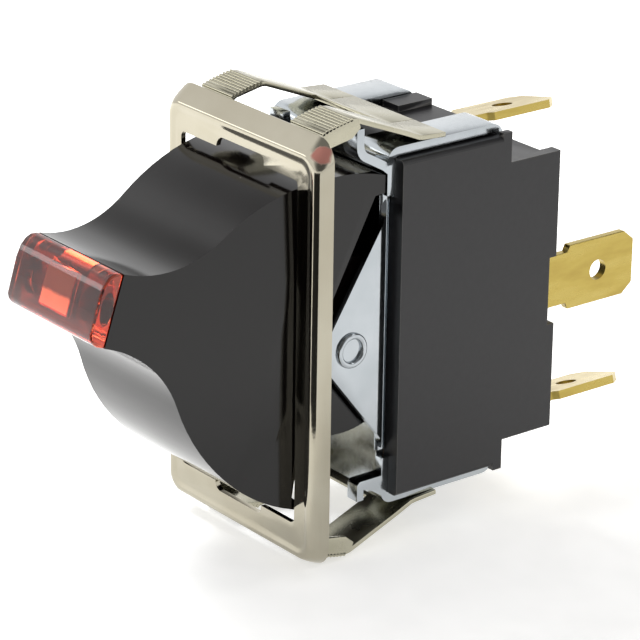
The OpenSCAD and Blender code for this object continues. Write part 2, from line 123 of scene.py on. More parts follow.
def makeNickelPlate():
    # bright nickel over polished steel: warm olive-cream reflections, a slight haze, fine handling marks
    look = nickelFinish
    material, tree, shader, where = newMaterial("nickelPlatedSteel")
    haze = addNode(tree, "ShaderNodeTexNoise", Vector=where, Scale=look["haze"], Detail=3.0)
    colour = addNode(tree, "ShaderNodeValToRGB", {"stops": ((0.35, look["tone"]), (0.7, look["paleTone"]))},
                     Fac=haze.outputs["Fac"])
    # corner rubbed down to the copper strike under the nickel: flat, matt and pink
    offset = addNode(tree, "ShaderNodeVectorMath", {"operation": "SUBTRACT"}, i0=where, i1=look["rubbedSpot"])
    squash = addNode(tree, "ShaderNodeVectorMath", {"operation": "DIVIDE"}, i0=offset.outputs[0], i1=look["rubbedHalf"])
    away = addNode(tree, "ShaderNodeVectorMath", {"operation": "LENGTH"}, i0=squash.outputs[0])
    ragged = addNode(tree, "ShaderNodeTexNoise", Vector=where, Scale=look["ragged"], Detail=3.0)
    edge = addNode(tree, "ShaderNodeMath", {"operation": "MULTIPLY_ADD"}, i0=ragged.outputs["Fac"], i1=0.7,
                   i2=away.outputs["Value"])
    rubbed = addNode(tree, "ShaderNodeMapRange", Value=edge.outputs[0], From_Min=1.5, From_Max=1.2, To_Min=0.0,
                     To_Max=look["rubbedMost"])
    tint = addNode(tree, "ShaderNodeMix", {"data_type": "RGBA"}, Factor=rubbed.outputs[0], i6=colour.outputs["Color"],
                   i7=hexColour(look["copperTone"]))
    smooth, dull = look["rough"]
    rough = addNode(tree, "ShaderNodeMapRange", Value=haze.outputs["Fac"], From_Min=0.3, From_Max=0.7, To_Min=smooth,
                    To_Max=dull)
    matt = addNode(tree, "ShaderNodeMath", {"operation": "MULTIPLY_ADD"}, i0=rubbed.outputs[0], i1=0.5,
                   i2=rough.outputs[0])
    marks = addNode(tree, "ShaderNodeTexNoise", Vector=where, Scale=look["marks"], Detail=2.0)
    ripple = addNode(tree, "ShaderNodeTexNoise", Vector=where, Scale=look["ripple"], Detail=1.0)
    low = addNode(tree, "ShaderNodeBump", Height=ripple.outputs["Fac"], Strength=0.1, Distance=0.0002)
    fine = addNode(tree, "ShaderNodeBump", Height=marks.outputs["Fac"], Strength=0.03, Distance=0.0001,
                   Normal=low.outputs[0])
    bare = addNode(tree, "ShaderNodeMath", {"operation": "MULTIPLY_ADD"}, i0=rubbed.outputs[0], i1=-0.75, i2=1.0)
    feed(tree, shader, Base_Color=tint.outputs[2], Roughness=matt.outputs[0], Normal=fine.outputs[0],
         Metallic=bare.outputs[0])
    return material


clipFinish = {"tone": "#aaa692", "paleTone": "#b8b4a1", "rough": (0.2, 0.32), "haze": 260.0, "grain": 2400.0}


def makeClipNickel():
    # nickel-plated spring steel, barrel plated: duller and greener than the bezel
    look = clipFinish
    material, tree, shader, where = newMaterial("nickelPlatedSpringSteel")
    haze = addNode(tree, "ShaderNodeTexNoise", Vector=where, Scale=look["haze"], Detail=4.0)
    colour = addNode(tree, "ShaderNodeValToRGB", {"stops": ((0.3, look["tone"]), (0.7, look["paleTone"]))},
                     Fac=haze.outputs["Fac"])
    smooth, dull = look["rough"]
    rough = addNode(tree, "ShaderNodeMapRange", Value=haze.outputs["Fac"], From_Min=0.3, From_Max=0.7, To_Min=smooth,
                    To_Max=dull)
    grain = addNode(tree, "ShaderNodeTexNoise", Vector=where, Scale=look["grain"], Detail=2.0)
    bump = addNode(tree, "ShaderNodeBump", Height=grain.outputs["Fac"], Strength=0.05, Distance=0.0001)
    feed(tree, shader, Base_Color=colour.outputs["Color"], Roughness=rough.outputs[0], Normal=bump.outputs[0],
         Metallic=1.0)
    return material


zincFinish = {"tone": "#aeb4b8", "paleTone": "#b9bec2", "rough": (0.12, 0.2), "haze": 240.0, "fleck": 1900.0}


def makeZincPlate():
    # bright zinc on folded steel: cool blue cast, smooth faces with a soft haze, sparkling sheared edges
    look = zincFinish
    material, tree, shader, where = newMaterial("zincPlatedSteel")
    haze = addNode(tree, "ShaderNodeTexNoise", Vector=where, Scale=look["haze"], Detail=3.0, Roughness=0.5)
    colour = addNode(tree, "ShaderNodeValToRGB", {"stops": ((0.3, look["tone"]), (0.7, look["paleTone"]))},
                     Fac=haze.outputs["Fac"])
    fleck = addNode(tree, "ShaderNodeTexNoise", Vector=where, Scale=look["fleck"], Detail=3.0)
    smooth, dull = look["rough"]
    rough = addNode(tree, "ShaderNodeMapRange", Value=fleck.outputs["Fac"], From_Min=0.35, From_Max=0.7, To_Min=smooth,
                    To_Max=dull)
    bump = addNode(tree, "ShaderNodeBump", Height=fleck.outputs["Fac"], Strength=0.03, Distance=0.0001)
    feed(tree, shader, Base_Color=colour.outputs["Color"], Roughness=rough.outputs[0], Normal=bump.outputs[0],
         Metallic=1.0)
    return material


rockerFinish = {"tone": "#070404", "paleTone": "#0b0807", "dustTone": "#8d867e", "rough": (0.09, 0.14), "ior": 1.46,
                "broad": 90.0, "dust": 420.0, "sink": 160.0, "dustKept": 0.78}


def makeRockerBlack():
    # gloss black ABS, injection moulded: deep brown-black, clean reflections, a few specks of dust
    look = rockerFinish
    material, tree, shader, where = newMaterial("glossBlackAbs")
    broad = addNode(tree, "ShaderNodeTexNoise", Vector=where, Scale=look["broad"], Detail=2.0)
    colour = addNode(tree, "ShaderNodeValToRGB", {"stops": ((0.3, look["tone"]), (0.7, look["paleTone"]))},
                     Fac=broad.outputs["Fac"])
    # dust about 0.1 mm across, some 3 mm apart
    dust = addNode(tree, "ShaderNodeTexVoronoi", Vector=where, Scale=look["dust"])
    dot = addNode(tree, "ShaderNodeMapRange", Value=dust.outputs["Distance"], From_Min=0.04, From_Max=0.025, To_Min=0.0,
                  To_Max=0.4)
    pick = addNode(tree, "ShaderNodeSeparateColor", Color=dust.outputs["Color"])
    few = addNode(tree, "ShaderNodeMath", {"operation": "GREATER_THAN"}, i0=pick.outputs[0], i1=look["dustKept"])
    both = addNode(tree, "ShaderNodeMath", {"operation": "MULTIPLY"}, i0=dot.outputs[0], i1=few.outputs[0])
    mix = addNode(tree, "ShaderNodeMix", {"data_type": "RGBA"}, Factor=both.outputs[0], i6=colour.outputs["Color"],
                  i7=hexColour(look["dustTone"]))
    smooth, dull = look["rough"]
    rough = addNode(tree, "ShaderNodeMapRange", Value=broad.outputs["Fac"], From_Min=0.3, From_Max=0.7, To_Min=smooth,
                    To_Max=dull)
    sink = addNode(tree, "ShaderNodeTexNoise", Vector=where, Scale=look["sink"], Detail=1.0)
    bump = addNode(tree, "ShaderNodeBump", Height=sink.outputs["Fac"], Strength=0.05, Distance=0.0002)
    feed(tree, shader, Base_Color=mix.outputs[2], Roughness=rough.outputs[0], Normal=bump.outputs[0], IOR=look["ior"])
    return material


phenolicFinish = {"tone": "#131214", "paleTone": "#181719", "wornTone": "#7f7c76", "rough": 0.38, "ior": 1.5,
                  "grain": 1700.0, "patch": 900.0, "wornEdge": 0.22 * mm, "wornMost": 0.35}


def makePhenolic():
    # black phenolic, compression moulded: even satin charcoal, dusted pale along the rubbed edges
    look = phenolicFinish
    material, tree, shader, where = newMaterial("blackPhenolic")
    grain = addNode(tree, "ShaderNodeTexNoise", Vector=where, Scale=look["grain"], Detail=4.0)
    colour = addNode(tree, "ShaderNodeValToRGB", {"stops": ((0.3, look["tone"]), (0.7, look["paleTone"]))},
                     Fac=grain.outputs["Fac"])
    soft = addNode(tree, "ShaderNodeBevel", {"samples": 6}, Radius=look["wornEdge"])
    face = addNode(tree, "ShaderNodeNewGeometry")
    same = addNode(tree, "ShaderNodeVectorMath", {"operation": "DOT_PRODUCT"}, i0=soft.outputs[0],
                   i1=face.outputs["True Normal"])
    patch = addNode(tree, "ShaderNodeTexNoise", Vector=where, Scale=look["patch"], Detail=4.0)
    limit = addNode(tree, "ShaderNodeMath", {"operation": "MULTIPLY_ADD"}, i0=patch.outputs["Fac"], i1=0.2,
                    i2=same.outputs["Value"])
    worn = addNode(tree, "ShaderNodeMapRange", Value=limit.outputs[0], From_Min=1.02, From_Max=0.93, To_Min=0.0,
                   To_Max=look["wornMost"])
    mix = addNode(tree, "ShaderNodeMix", {"data_type": "RGBA"}, Factor=worn.outputs[0], i6=colour.outputs["Color"],
                  i7=hexColour(look["wornTone"]))
    bump = addNode(tree, "ShaderNodeBump", Height=grain.outputs["Fac"], Strength=0.08, Distance=0.0001)
    feed(tree, shader, Base_Color=mix.outputs[2], Normal=bump.outputs[0], Roughness=look["rough"], IOR=look["ior"])
    return material


brassFinish = {"stainTone": "#a8914c", "tone": "#b5a056", "paleTone": "#bdaa64", "rough": (0.34, 0.24),
               "stain": 600.0, "stretch": 0.25}


def makeBrass():
    # bare brass strip, rolled and stamped: warm yellow, faint grey-brown staining along the strip
    look = brassFinish
    material, tree, shader, where = newMaterial("rolledBrass")
    along = addNode(tree, "ShaderNodeMapping", Vector=where, Scale=(1.0, look["stretch"], 1.0))
    stain = addNode(tree, "ShaderNodeTexNoise", Vector=along.outputs[0], Scale=look["stain"], Detail=5.0,
                    Roughness=0.55)
    stops = ((0.28, look["stainTone"]), (0.5, look["tone"]), (0.78, look["paleTone"]))
    colour = addNode(tree, "ShaderNodeValToRGB", {"stops": stops}, Fac=stain.outputs["Fac"])
    dull, smooth = look["rough"]
    rough = addNode(tree, "ShaderNodeMapRange", Value=stain.outputs["Fac"], From_Min=0.3, From_Max=0.7, To_Min=dull,
                    To_Max=smooth)
    bump = addNode(tree, "ShaderNodeBump", Height=stain.outputs["Fac"], Strength=0.06, Distance=0.0001)
    feed(tree, shader, Base_Color=colour.outputs["Color"], Roughness=rough.outputs[0], Normal=bump.outputs[0],
         Metallic=1.0)
    return material


lensFinish = {"tone": "#cf3a20", "paleTone": "#d94628", "rough": 0.06, "ior": 1.585, "clear": 0.96, "cloud": 240.0}


def makeLensRed():
    # clear red polycarbonate, injection moulded: deep red body, glossy skin
    look = lensFinish
    material, tree, shader, where = newMaterial("redPolycarbonate")
    cloud = addNode(tree, "ShaderNodeTexNoise", Vector=where, Scale=look["cloud"], Detail=2.0)
    colour = addNode(tree, "ShaderNodeValToRGB", {"stops": ((0.3, look["tone"]), (0.7, look["paleTone"]))},
                     Fac=cloud.outputs["Fac"])
    bump = addNode(tree, "ShaderNodeBump", Height=cloud.outputs["Fac"], Strength=0.03, Distance=0.0002)
    feed(tree, shader, Base_Color=colour.outputs["Color"], Normal=bump.outputs[0], Roughness=look["rough"],
         IOR=look["ior"], Transmission_Weight=look["clear"])
    return material


def makePlain(name, dark, light, scale, low, high, metallic, ior=1.5, depth=0.08):
    # small inner pieces: two close tones broken up by fine noise, and the same noise in the roughness
    material, tree, shader, where = newMaterial(name)
    grain = addNode(tree, "ShaderNodeTexNoise", Vector=where, Scale=scale, Detail=4.0)
    colour = addNode(tree, "ShaderNodeValToRGB", {"stops": ((0.3, dark), (0.7, light))}, Fac=grain.outputs["Fac"])
    rough = addNode(tree, "ShaderNodeMapRange", Value=grain.outputs["Fac"], From_Min=0.3, From_Max=0.7, To_Min=low,
                    To_Max=high)
    bump = addNode(tree, "ShaderNodeBump", Height=grain.outputs["Fac"], Strength=depth, Distance=0.0001)
    feed(tree, shader, Base_Color=colour.outputs["Color"], Roughness=rough.outputs[0], Normal=bump.outputs[0],
         Metallic=metallic)
    if metallic < 0.5:
        shader.inputs["IOR"].default_value = ior
    return material


nickelPlate = makeNickelPlate()
clipNickel = makeClipNickel()
zincPlate = makeZincPlate()
rockerBlack = makeRockerBlack()
phenolic = makePhenolic()
brass = makeBrass()
lensRed = makeLensRed()

# two tones, repeats in a metre, roughness from and to, metallic, then IOR and bump where they matter
plainFinishes = {
    # warm white glass with a soft skin
    "frostedLampGlass": ("#f3d7b0", "#fff0d8", 500.0, 0.25, 0.4, 0.0, 1.5),
    # grey-white wire with a dull shine
    "tinnedCopperWire": ("#b9b7b1", "#d3d1cb", 1500.0, 0.25, 0.4, 1.0),
    # waxy cream plastic
    "naturalNylon": ("#cfc6ad", "#ddd6c2", 900.0, 0.4, 0.55, 0.0, 1.53),
    # blue-grey drawn wire
    "drawnSpringSteel": ("#8f9294", "#b1b4b6", 2000.0, 0.22, 0.36, 1.0),
    # red-brown strip with a brushed shine
    "phosphorBronzeStrip": ("#a86f45", "#c58e5d", 1200.0, 0.28, 0.42, 1.0),
    # soft white metal, slightly tarnished
    "fineSilver": ("#cfcdc6", "#e6e4de", 1600.0, 0.2, 0.35, 1.0),
    # matt brown board
    "vulcanisedFibre": ("#4e3a2a", "#6d5440", 1100.0, 0.6, 0.8, 0.0, 1.45, 0.2)}
plain = {name: makePlain(name, *values) for name, values in plainFinishes.items()}

looks = {
    "bezel": nickelPlate, "upper_clip": clipNickel, "lower_clip": clipNickel, "bracket": zincPlate,
    "pivot_rivets": zincPlate, "rocker": rockerBlack, "lens": lensRed, "lamp_bulb": plain["frostedLampGlass"],
    "lamp_leads": plain["tinnedCopperWire"], "lamp_tails": plain["tinnedCopperWire"], "plunger": plain["naturalNylon"],
    "plunger_spring": plain["drawnSpringSteel"], "contact_arm": plain["phosphorBronzeStrip"],
    "moving_contact": plain["fineSilver"], "fixed_contact": plain["fineSilver"], "insulator": plain["vulcanisedFibre"],
    "body": phenolic, "upper_terminal": brass, "middle_terminal": brass, "lower_terminal": brass}
for name, material in looks.items():
    node = frame["nodes"][name]
    node.data.materials.clear()
    node.data.materials.append(material)
print("materials made")

bodyOf = {n: b for b, members in frame["record"]["behaviour"]["bodies"].items() for n in members}


def settle(obj):
    # the evaluated result as a plain mesh, with no modifier left on the piece
    bpy.context.view_layer.update()
    graph = bpy.context.evaluated_depsgraph_get()
    mesh = bpy.data.meshes.new_from_object(obj.evaluated_get(graph), preserve_all_data_layers=True, depsgraph=graph)
    obj.modifiers.clear()
    obj.data = mesh
    return obj


def shade(mesh, smoothDeg):
    mesh.shade_smooth()
    mesh.set_sharp_from_angle(angle=math.radians(smoothDeg))


def newPiece(name, bm, material, smoothDeg=40):
    mesh = bpy.data.meshes.new(name)
    bm.to_mesh(mesh)
    bm.free()
    shade(mesh, smoothDeg)
    mesh.materials.append(material)
    obj = bpy.data.objects.new(name, mesh)
    scene.collection.objects.link(obj)
    return obj


def mount(piece, node):
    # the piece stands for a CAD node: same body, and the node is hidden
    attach(piece, bodyOf[node])
    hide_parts(node)
    return piece


def mergedCopy(node):
    # a CAD node's mesh with its doubled points welded and its flat faces made whole
    bm = bmesh.new()
    bm.from_mesh(frame["nodes"][node].data)
    bmesh.ops.remove_doubles(bm, verts=bm.verts, dist=weldGap)
    bmesh.ops.dissolve_limit(bm, angle_limit=math.radians(0.3), verts=bm.verts, edges=bm.edges)
    return bm


def outerEdges(bm, minDeg, minLength=0.0):
    # edges that stand out by more than an angle and aren't shorter than a length in millimetres
    return [e for e in bm.edges if len(e.link_faces) == 2 and e.calc_length() >= minLength * mm
            and e.calc_face_angle_signed(0.0) > math.radians(minDeg)]


def roundEdges(bm, edges, offset, segments=2, miter="SHARP"):
    bmesh.ops.bevel(bm, geom=edges, offset=offset * mm, offset_type="OFFSET", segments=segments, profile=0.5,
                    affect="EDGES", clamp_overlap=True, miter_outer=miter)


# piece name, edge radius and shortest edge that is rounded, in millimetres
edgeLook = {"cornerDeg": 32, "segments": 3, "weight": 80,
            "body": ("mouldedBody", 0.3, 0.6), "lens": ("redLens", 0.25, 0.3), "rocker": ("mouldedRocker", 0.3, 0.0),
            "upper_terminal": ("upperTerminal", 0.12, 0.15), "middle_terminal": ("middleTerminal", 0.12, 0.15),
            "lower_terminal": ("lowerTerminal", 0.12, 0.15)}


def softEdged(node):
    # merged copy of a CAD node whose outer corners are rounded in the mesh
    name, radius, minLength = edgeLook[node]
    bm = mergedCopy(node)
    roundEdges(bm, outerEdges(bm, edgeLook["cornerDeg"], minLength), radius, edgeLook["segments"], "ARC")
    bmesh.ops.remove_doubles(bm, verts=bm.verts, dist=weldGap)
    piece = newPiece(name, bm, looks[node])
    firm = piece.modifiers.new("firm", "WEIGHTED_NORMAL")
    firm.keep_sharp = True
    firm.weight = edgeLook["weight"]
    return mount(settle(piece), node)


for node in ("body", "lens", "rocker", "upper_terminal", "middle_terminal", "lower_terminal"):
    softEdged(node)
print("edges rounded")


def roundedLoop(bm, halfX, halfZ, radius, y, steps):
    # corner arcs joined by straight sides, in millimetres about the frame's axis
    loop = []
    for corner, (sx, sz) in enumerate(((1, 1), (-1, 1), (-1, -1), (1, -1))):
        for step in range(steps + 1):
            turn = math.radians(90 * (corner + step / steps))
            loop.append(bm.verts.new(((sx * (halfX - radius) + radius * math.cos(turn)) * mm, y * mm,
                                      (sz * (halfZ - radius) + radius * math.sin(turn)) * mm)))
    return loop


def skin(bm, loops, closed):
    # quads between neighbouring loops of equal length
    pairs = list(zip(loops, loops[1:])) + ([(loops[-1], loops[0])] if closed else [])
    for near, far in pairs:
        for i in range(len(near)):
            j = (i + 1) % len(near)
            bm.faces.new((near[i], near[j], far[j], far[i]))


def cut(piece, tool, selfCrossing=False):
    change = piece.modifiers.new("cut", "BOOLEAN")
    change.operation = "DIFFERENCE"
    change.solver = "EXACT"
    change.use_self = selfCrossing
    change.object = tool
    settle(piece)
    bpy.data.objects.remove(tool)
    return piece


bezelLook = {"openHalf": (8.6, 16.2), "openCorner": 0.5, "notchHalf": 3.5, "notchDeep": 0.9, "notchCentre": 0.2,
             "notchCorner": 0.8, "openFrom": -4.0, "openTo": 2.0, "openSteps": 6, "cornerSteps": 14,
             "crestEnd": 1.6, "crestDrop": 0.33, "lipFrom": -1.6, "lipRound": 0.1, "lipDeg": 50, "smoothDeg": 38,
             # (y, in from the side, in from the end, corner radius): outside, over the crest, then the back
             "outside": ((0.0, 0.12, 0.30, 2.05), (-0.05, 0.04, 0.21, 2.15), (-0.15, 0.02, 0.19, 2.2),
                         (-0.8, 0.1, 0.74, 2.0), (-1.3, 0.24, 1.19, 1.85), (-1.45, 0.36, 1.32, 1.8),
                         (-1.58, 0.5, 1.45, 1.7), (-1.7, 0.66, 1.57, 1.6), (-1.78, 0.84, 1.72, 1.5),
                         (-1.82, 1.04, 1.9, 1.4), (-1.78, 1.28, 2.12, 1.3), (-1.69, 1.5, 2.4, 1.2),
                         (-1.66, 1.72, 2.7, 1.1), (-1.9, 2.8, 4.15, 0.6), (-1.95, 4.4, 6.0, 0.4)),
             "inside": ((-1.45, 4.4, 6.0, 0.4), (-1.4, 2.8, 4.1, 0.6), (-1.2, 1.5, 2.5, 1.0), (-1.1, 1.2, 2.1, 1.2),
                        (-0.8, 0.8, 1.6, 1.4), (0.0, 0.52, 0.75, 1.8))}


def makeBezel():
    # pressed sheet: sloping sides up to a rounded crest, then a shallow dish down to the opening
    look = bezelLook
    bm = bmesh.new()
    loops = []
    for y, fromSide, fromEnd, radius in look["outside"] + look["inside"]:
        # the crest sits a little low, so its loops are taller and moved down
        drop = look["crestDrop"] * min(1.0, fromEnd / look["crestEnd"])
        loop = roundedLoop(bm, bezelHigh.x / mm - fromSide, bezelHigh.z / mm - fromEnd + drop, radius, y,
                           look["cornerSteps"])
        for vert in loop:
            vert.co.z -= drop * mm
        loops.append(loop)
    skin(bm, loops, True)
    bmesh.ops.recalc_face_normals(bm, faces=bm.faces)
    bezel = newPiece("pressedBezel", bm, looks["bezel"])
    bm = bmesh.new()
    halfX, halfZ = look["openHalf"]
    for wide, tall, radius, shift in ((halfX, halfZ, look["openCorner"], 0.0),
                                      (look["notchHalf"], halfZ + look["notchDeep"], look["notchCorner"],
                                       look["notchCentre"])):
        ends = [roundedLoop(bm, wide, tall, radius, y, look["openSteps"]) for y in (look["openFrom"], look["openTo"])]
        for vert in ends[0] + ends[1]:
            vert.co.x += shift * mm
        skin(bm, ends, False)
        bm.faces.new(ends[0])
        bm.faces.new(ends[1])
    bmesh.ops.recalc_face_normals(bm, faces=bm.faces)
    cut(bezel, newPiece("opening", bm, looks["bezel"]), selfCrossing=True)
    bm = bmesh.new()
    bm.from_mesh(bezel.data)
    bmesh.ops.remove_doubles(bm, verts=bm.verts, dist=weldGap)
    lip = [e for e in outerEdges(bm, look["lipDeg"]) if all(v.co.y < look["lipFrom"] * mm for v in e.verts)]
    roundEdges(bm, lip, look["lipRound"])
    bm.to_mesh(bezel.data)
    bm.free()
    shade(bezel.data, look["smoothDeg"])
    return mount(bezel, "bezel")


earLook = {"outer": 8.45, "sheet": 0.5, "bendFrom": 7.55, "bendRadius": 1.3, "rear": 9.3, "top": 12.5, "bottom": -12.1,
           "nose": 3.1, "pivotY": 4.4, "pivotZ": -1.0, "slices": 9, "edgeRound": 0.09, "noseSteps": 24}


def earOutline():
    # two slanted edges touching the round nose about the pivot, (y, z) in millimetres
    look = earLook
    centre = Vector((look["pivotY"], look["pivotZ"]))

    def touch(y, z, side):
        away = Vector((y, z)) - centre
        return math.atan2(away.y, away.x) + side * math.acos(look["nose"] / away.length)

    above, below = touch(look["rear"], look["top"], 1), touch(look["rear"], look["bottom"], -1)
    points = [(look["rear"], look["top"])]
    if below < above:
        below += 2 * math.pi
    for step in range(look["noseSteps"] + 1):
        turn = above + (below - above) * step / look["noseSteps"]
        points.append((centre.x + look["nose"] * math.cos(turn), centre.y + look["nose"] * math.sin(turn)))
    points.append((look["rear"], look["bottom"]))
    return points


def addEar(bm, side):
    # flat slab with softened edges, its rear part then bent round towards the front plate
    look = earLook
    outline = earOutline()
    ear = bmesh.new()
    faces = []
    for x in (look["outer"] - look["sheet"], look["outer"]):
        faces.append(ear.faces.new([ear.verts.new((x * mm, y * mm, z * mm)) for y, z in outline]))
    skin(ear, [list(face.verts) for face in faces], False)
    bmesh.ops.recalc_face_normals(ear, faces=ear.faces)
    roundEdges(ear, [e for e in outerEdges(ear, 60) if all(v.co.y < (look["rear"] - 0.01) * mm for v in e.verts)],
               look["edgeRound"])
    for i in range(look["slices"]):
        y = look["bendFrom"] + (look["rear"] - look["bendFrom"]) * i / look["slices"]
        bmesh.ops.bisect_plane(ear, geom=list(ear.verts) + list(ear.edges) + list(ear.faces), dist=0.0001 * mm,
                               plane_co=(0, y * mm, 0), plane_no=(0, 1, 0))
    for vert in ear.verts:
        y = vert.co.y / mm
        if y > look["bendFrom"]:
            turn = (y - look["bendFrom"]) / look["bendRadius"]
            reach = look["bendRadius"] - (look["outer"] - vert.co.x / mm)
            vert.co.x = (look["outer"] - look["bendRadius"] + reach * math.cos(turn)) * mm
            vert.co.y = (look["bendFrom"] + reach * math.sin(turn)) * mm
        vert.co.x *= side
    bmesh.ops.recalc_face_normals(ear, faces=ear.faces)
    mesh = bpy.data.meshes.new("ear")
    ear.to_mesh(mesh)
    ear.free()
    bm.from_mesh(mesh)
    bpy.data.meshes.remove(mesh)


# room cleared for the bent ears: from and to across, then the middle and size along y and z, in millimetres
bracketLook = {"roomFrom": 7.64, "roomTo": 9.0, "roomMiddle": (4.4, 0.35), "roomSize": (9.0, 24.7),
               "cornerDeg": 32, "shortest": 0.3, "edgeRound": 0.12}


def makeBracket():
    # the CAD bracket with its square ears cut away and bent ones set in their place
    look = bracketLook
    bracket = newPiece("foldedBracket", mergedCopy("bracket"), looks["bracket"])
    for side in (-1, 1):
        low, high = sorted((side * look["roomFrom"], side * look["roomTo"]))
        tool = bmesh.new()
        for vert in bmesh.ops.create_cube(tool, size=1.0)["verts"]:
            vert.co = Vector(((low + high) / 2 + vert.co.x * (high - low),
                              look["roomMiddle"][0] + vert.co.y * look["roomSize"][0],
                              look["roomMiddle"][1] + vert.co.z * look["roomSize"][1])) * mm
        cut(bracket, newPiece("earRoom", tool, looks["bracket"]))
    bm = bmesh.new()
    bm.from_mesh(bracket.data)
    bmesh.ops.remove_doubles(bm, verts=bm.verts, dist=weldGap)
    roundEdges(bm, outerEdges(bm, look["cornerDeg"], look["shortest"]), look["edgeRound"], 3, "ARC")
    for side in (-1, 1):
        addEar(bm, side)
    bm.to_mesh(bracket.data)
    bm.free()
    shade(bracket.data, look["cornerDeg"])
    return mount(bracket, "bracket")


rivetLook = {"shank": 1.58, "shankChamfer": 0.1, "seatGap": 0.02, "bore": 1.08, "rim": 1.66, "rimTuck": 0.03,
             "rise": 0.4, "rimSteps": 10, "boreFrom": 6.9, "boreCone": 0.9, "boreFlat": 0.3, "steps": 56}


def makeRivets():
    # turned about the pivot: plain shank, blind bore, rim rolled over the ear
    look = rivetLook
    inner = min(abs(vert.co.x) for vert in frame["nodes"]["pivot_rivets"].data.vertices) / mm
    seat = earLook["outer"] + look["seatGap"]
    middle = (look["bore"] + look["rim"]) / 2
    half = (look["rim"] - look["bore"]) / 2
    # (radius, distance out from the middle of the switch)
    profile = [(0.0, inner), (look["shank"] - look["shankChamfer"], inner),
               (look["shank"], inner + look["shankChamfer"]), (look["shank"], seat),
               (look["rim"] - look["rimTuck"], seat)]
    for step in range(look["rimSteps"] + 1):
        turn = math.radians(180 * step / look["rimSteps"])
        profile.append((middle + half * math.cos(turn), seat + look["rise"] - half + half * math.sin(turn)))
    profile += [(look["bore"], look["boreFrom"] + look["boreCone"]), (look["boreFlat"], look["boreFrom"]),
                (0.0, look["boreFrom"])]
    bm = bmesh.new()
    for side in (-1, 1):
        rings = []
        for radius, x in profile:
            ring = []
            for i in range(look["steps"] if radius else 1):
                turn = 2 * math.pi * i / look["steps"]
                ring.append(bm.verts.new((side * x * mm, (earLook["pivotY"] + radius * math.cos(turn)) * mm,
                                          (earLook["pivotZ"] + radius * math.sin(turn)) * mm)))
            rings.append(ring)
        for near, far in zip(rings, rings[1:]):
            for i in range(look["steps"]):
                j = (i + 1) % look["steps"]
                corner = [near[i % len(near)], near[j % len(near)], far[j % len(far)], far[i % len(far)]]
                bm.faces.new(list(dict.fromkeys(corner)))
    bmesh.ops.recalc_face_normals(bm, faces=bm.faces)
    return mount(newPiece("rolledRivets", bm, looks["pivot_rivets"], 45), "pivot_rivets")


# measured in the lever's own tilted axes about its pivot, in millimetres and degrees
# the glow strength and the two tones paint light and shade on the lamp front, which is no lit lamp
lampLook = {"pivotY": 4.4, "pivotZ": -1.0, "tilt": 18.5, "halfWide": 2.15, "halfTall": 1.75, "middle": 0.3,
            "frontY": -26.62, "backY": -25.6, "edgeRound": 0.15, "glow": 0.85, "paleTone": "#fff3e2",
            "shadeTone": "#7d7266", "speck": 900.0}


def makePaintedLampGlow():
    # the lamp's squared front, though the lamp is not lit: a painted warm white glow, with painted shade on its upper
    # half for the shade of the lens
    look = lampLook
    material, tree, shader, where = newMaterial("paintedLampGlow")
    tilt = math.radians(look["tilt"])
    up = addNode(tree, "ShaderNodeVectorMath", {"operation": "DOT_PRODUCT"}, i0=where,
                 i1=(0.0, math.sin(tilt), math.cos(tilt)))
    middle = (look["pivotY"] * math.sin(tilt) + look["pivotZ"] * math.cos(tilt) + look["middle"]) * mm
    speck = addNode(tree, "ShaderNodeTexNoise", Vector=where, Scale=look["speck"], Detail=3.0)
    ragged = addNode(tree, "ShaderNodeMath", {"operation": "MULTIPLY_ADD"}, i0=speck.outputs["Fac"], i1=0.5 * mm,
                     i2=up.outputs["Value"])
    half = addNode(tree, "ShaderNodeMapRange", Value=ragged.outputs[0], From_Min=middle - 0.2 * mm,
                   From_Max=middle + 0.1 * mm)
    # painted shade: the upper half takes the darker shade tone
    colour = addNode(tree, "ShaderNodeMix", {"data_type": "RGBA"}, Factor=half.outputs[0],
                     i6=hexColour(look["paleTone"]), i7=hexColour(look["shadeTone"]))
    # painted glow: the front emits light though the lamp is not lit
    power = addNode(tree, "ShaderNodeMapRange", Value=speck.outputs["Fac"], From_Min=0.3, From_Max=0.7,
                    To_Min=look["glow"] * 0.85, To_Max=look["glow"])
    feed(tree, shader, Base_Color=colour.outputs[2], Emission_Color=colour.outputs[2],
         Emission_Strength=power.outputs[0], Roughness=0.5)
    return material


def makeLampFront():
    look = lampLook
    tilt = math.radians(look["tilt"])
    bm = bmesh.new()
    for vert in bmesh.ops.create_cube(bm, size=1.0)["verts"]:
        x = vert.co.x * 2 * look["halfWide"]
        y = (look["frontY"] + look["backY"]) / 2 + vert.co.y * (look["backY"] - look["frontY"])
        z = look["middle"] + vert.co.z * 2 * look["halfTall"]
        vert.co = Vector((x, look["pivotY"] + y * math.cos(tilt) + z * math.sin(tilt),
                          look["pivotZ"] - y * math.sin(tilt) + z * math.cos(tilt))) * mm
    roundEdges(bm, list(bm.edges), look["edgeRound"])
    # the block's material paints its glow and its shaded upper half
    piece = newPiece("lampFront", bm, makePaintedLampGlow())
    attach(piece, bodyOf["lamp_bulb"])


makeBezel()
makeBracket()
makeRivets()
makeLampFront()
print("bezel, bracket, rivets and lamp front made")

